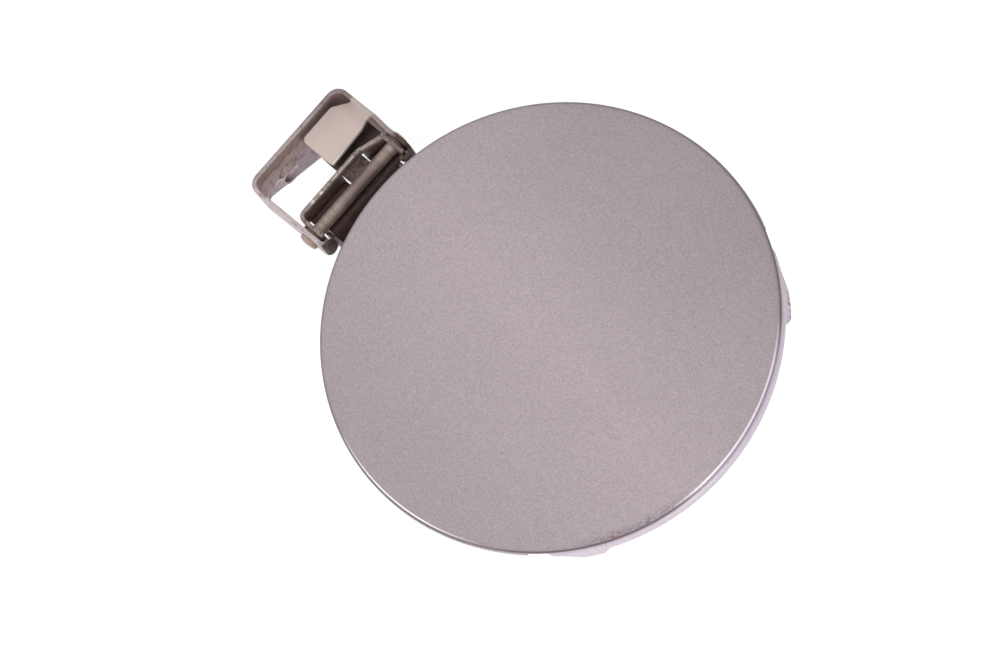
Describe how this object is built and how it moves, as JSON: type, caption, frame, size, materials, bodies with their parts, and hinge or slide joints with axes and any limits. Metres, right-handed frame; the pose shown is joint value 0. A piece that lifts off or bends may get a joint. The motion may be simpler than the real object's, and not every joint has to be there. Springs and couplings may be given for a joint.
{
  "type": "car fuel door",
  "caption": "Round sheet-metal fuel door on a bent hinge bracket: painted panel, stamped inner panel, gooseneck arm, riveted pin and leaf spring.",
  "frame": {"origin": "midway between the two screw holes, on the bracket's mounting face", "axes": "+X from the mounting face towards the latch, +Y along the hinge pin, +Z out of the painted face"},
  "size_m": [0.2086, 0.1656, 0.0458],
  "materials": {
    "outer_paint": "mauve-grey metallic paint, satin with a fine flake",
    "inner_paint": "the same paint, thinner and duller",
    "bracket_steel": "warm grey primer, rough and dirty at the cut edges",
    "knuckle_steel": "brownish primer with dirt",
    "pin_steel": "dull plated steel",
    "spring_steel": "dark spring steel with grease",
    "bush_plastic": "aged natural nylon",
    "sealer": "painted-over sealer bead",
    "striker_zinc": "zinc-plated steel",
    "buffer_rubber": "matt black rubber",
    "holder_plastic": "black moulded plastic"
  },
  "bodies": {
    "bracket": {"base_bracket": "bracket_steel", "hinge_pin": "pin_steel", "leaf_spring": "spring_steel"},
    "door": {"bush_lower": "bush_plastic", "bush_upper": "bush_plastic", "knuckle": "knuckle_steel", "knuckle_rivets": "pin_steel", "hinge_arm": "inner_paint", "inner_panel": "inner_paint", "outer_skin": "outer_paint", "seam_sealer": "sealer", "striker": "striker_zinc", "striker_rivets": "pin_steel", "buffer_left": "buffer_rubber", "buffer_right": "buffer_rubber", "cap_holder": "holder_plastic", "holder_clips": "holder_plastic"}
  },
  "joints": [
    {"name": "door_swing", "type": "hinge", "parent": "bracket", "child": "door", "pos_m": [0.0307, 0, 0.0105], "axis": [0, -1, 0], "range_deg": [0, 95], "deforming": ["leaf_spring"]}
  ]
}
